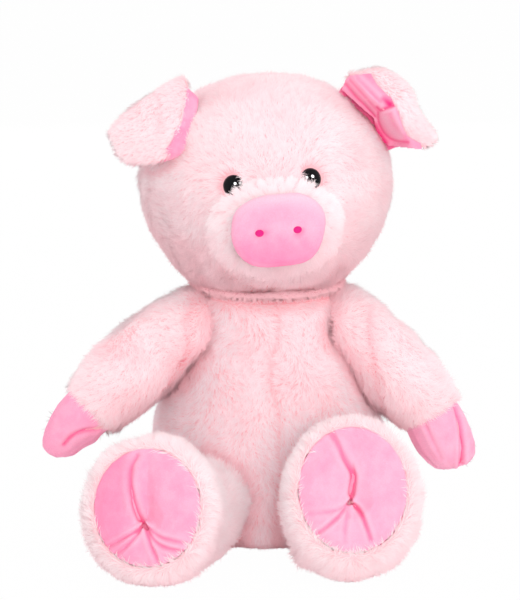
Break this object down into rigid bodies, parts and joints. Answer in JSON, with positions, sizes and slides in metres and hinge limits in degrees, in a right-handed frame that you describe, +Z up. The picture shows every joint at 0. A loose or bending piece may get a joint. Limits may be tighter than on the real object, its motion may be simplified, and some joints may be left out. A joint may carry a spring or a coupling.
{
  "type": "plush pig",
  "caption": "Sitting stuffed pig of soft fur with velour hooves, soles and snout, folded ears and poseable head and limbs.",
  "frame": {"origin": "the flat of the seat, under the middle of the torso, on the surface that the toy sits on", "axes": "+Z up, the pig looks along -Y, its own left is +X"},
  "size_m": [0.273, 0.2206, 0.3006],
  "materials": {
    "pink_fur": "short soft plush pile",
    "pale_fur": "longer soft plush pile",
    "pink_velour": "short velour nap",
    "pink_satin": "smooth lining cloth",
    "fibre_filling": "loose polyester fibre",
    "magenta_thread": "satin stitch",
    "pink_thread": "sewing thread",
    "black_plastic": "polished",
    "white_plastic": "moulded"
  },
  "bodies": {
    "torso": {"torso_cover": "pink_fur", "torso_filling": "fibre_filling"},
    "neck": {"neck_thread": "pink_thread"},
    "head": {"head_cover": "pink_fur", "head_filling": "fibre_filling", "muzzle_cover": "pale_fur", "muzzle_filling": "fibre_filling", "snout_pad": "pink_velour", "nostril_left": "magenta_thread", "nostril_right": "magenta_thread", "eye_left": "black_plastic", "eye_right": "black_plastic", "eye_washer_left": "white_plastic", "eye_washer_right": "white_plastic"},
    "arm_left": {"arm_cover_left": "pink_fur", "arm_filling_left": "fibre_filling", "hoof_left": "pink_velour"},
    "arm_right": {"arm_cover_right": "pink_fur", "arm_filling_right": "fibre_filling", "hoof_right": "pink_velour"},
    "leg_left": {"leg_cover_left": "pale_fur", "leg_filling_left": "fibre_filling", "sole_left": "pink_velour", "sole_knot_left": "pink_thread"},
    "leg_right": {"leg_cover_right": "pale_fur", "leg_filling_right": "fibre_filling", "sole_right": "pink_velour", "sole_knot_right": "pink_thread"},
    "ear_left": {"ear_outer_left": "pink_fur", "ear_lining_left": "pink_satin"},
    "ear_right": {"ear_outer_right": "pink_fur", "ear_lining_right": "pink_satin"},
    "tail": {"tail": "pink_velour"}
  },
  "joints": [
    {"name": "head_turn", "type": "hinge", "parent": "torso", "child": "neck", "pos_m": [0, 0.004, 0.221], "axis": [0, 0, 1], "range_deg": [-40, 40], "stiffness_Nm_per_rad": 0.9},
    {"name": "head_nod", "type": "hinge", "parent": "neck", "child": "head", "pos_m": [0, 0.004, 0.221], "axis": [1, 0, 0], "range_deg": [-12, 15], "stiffness_Nm_per_rad": 1.2},
    {"name": "arm_left_raise", "type": "hinge", "parent": "torso", "child": "arm_left", "pos_m": [0.048, -0.01, 0.137], "axis": [0, -1, 0], "range_deg": [-10, 50], "stiffness_Nm_per_rad": 0.3},
    {"name": "arm_right_raise", "type": "hinge", "parent": "torso", "child": "arm_right", "pos_m": [-0.048, -0.01, 0.137], "axis": [0, 1, 0], "range_deg": [-10, 50], "stiffness_Nm_per_rad": 0.3},
    {"name": "leg_left_swing", "type": "hinge", "parent": "torso", "child": "leg_left", "pos_m": [0.038, -0.044, 0.036], "axis": [-1, 0, 0], "range_deg": [-35, 30], "stiffness_Nm_per_rad": 0.6},
    {"name": "leg_right_swing", "type": "hinge", "parent": "torso", "child": "leg_right", "pos_m": [-0.038, -0.044, 0.036], "axis": [-1, 0, 0], "range_deg": [-35, 30], "stiffness_Nm_per_rad": 0.6},
    {"name": "ear_left_flop", "type": "hinge", "parent": "head", "child": "ear_left", "pos_m": [0.06161, -0.00297, 0.2672], "axis": [0.6292, -0.0099, -0.7771], "range_deg": [-30, 15], "stiffness_Nm_per_rad": 0.03},
    {"name": "ear_right_flop", "type": "hinge", "parent": "head", "child": "ear_right", "pos_m": [-0.06579, -0.00097, 0.26004], "axis": [0.5446, -0.0086, 0.8387], "range_deg": [-30, 3], "stiffness_Nm_per_rad": 0.03},
    {"name": "tail_sway", "type": "hinge", "parent": "torso", "child": "tail", "pos_m": [0, 0.06532, 0.048], "axis": [0, 0, 1], "range_deg": [-22, 22], "stiffness_Nm_per_rad": 0.02}
  ]
}
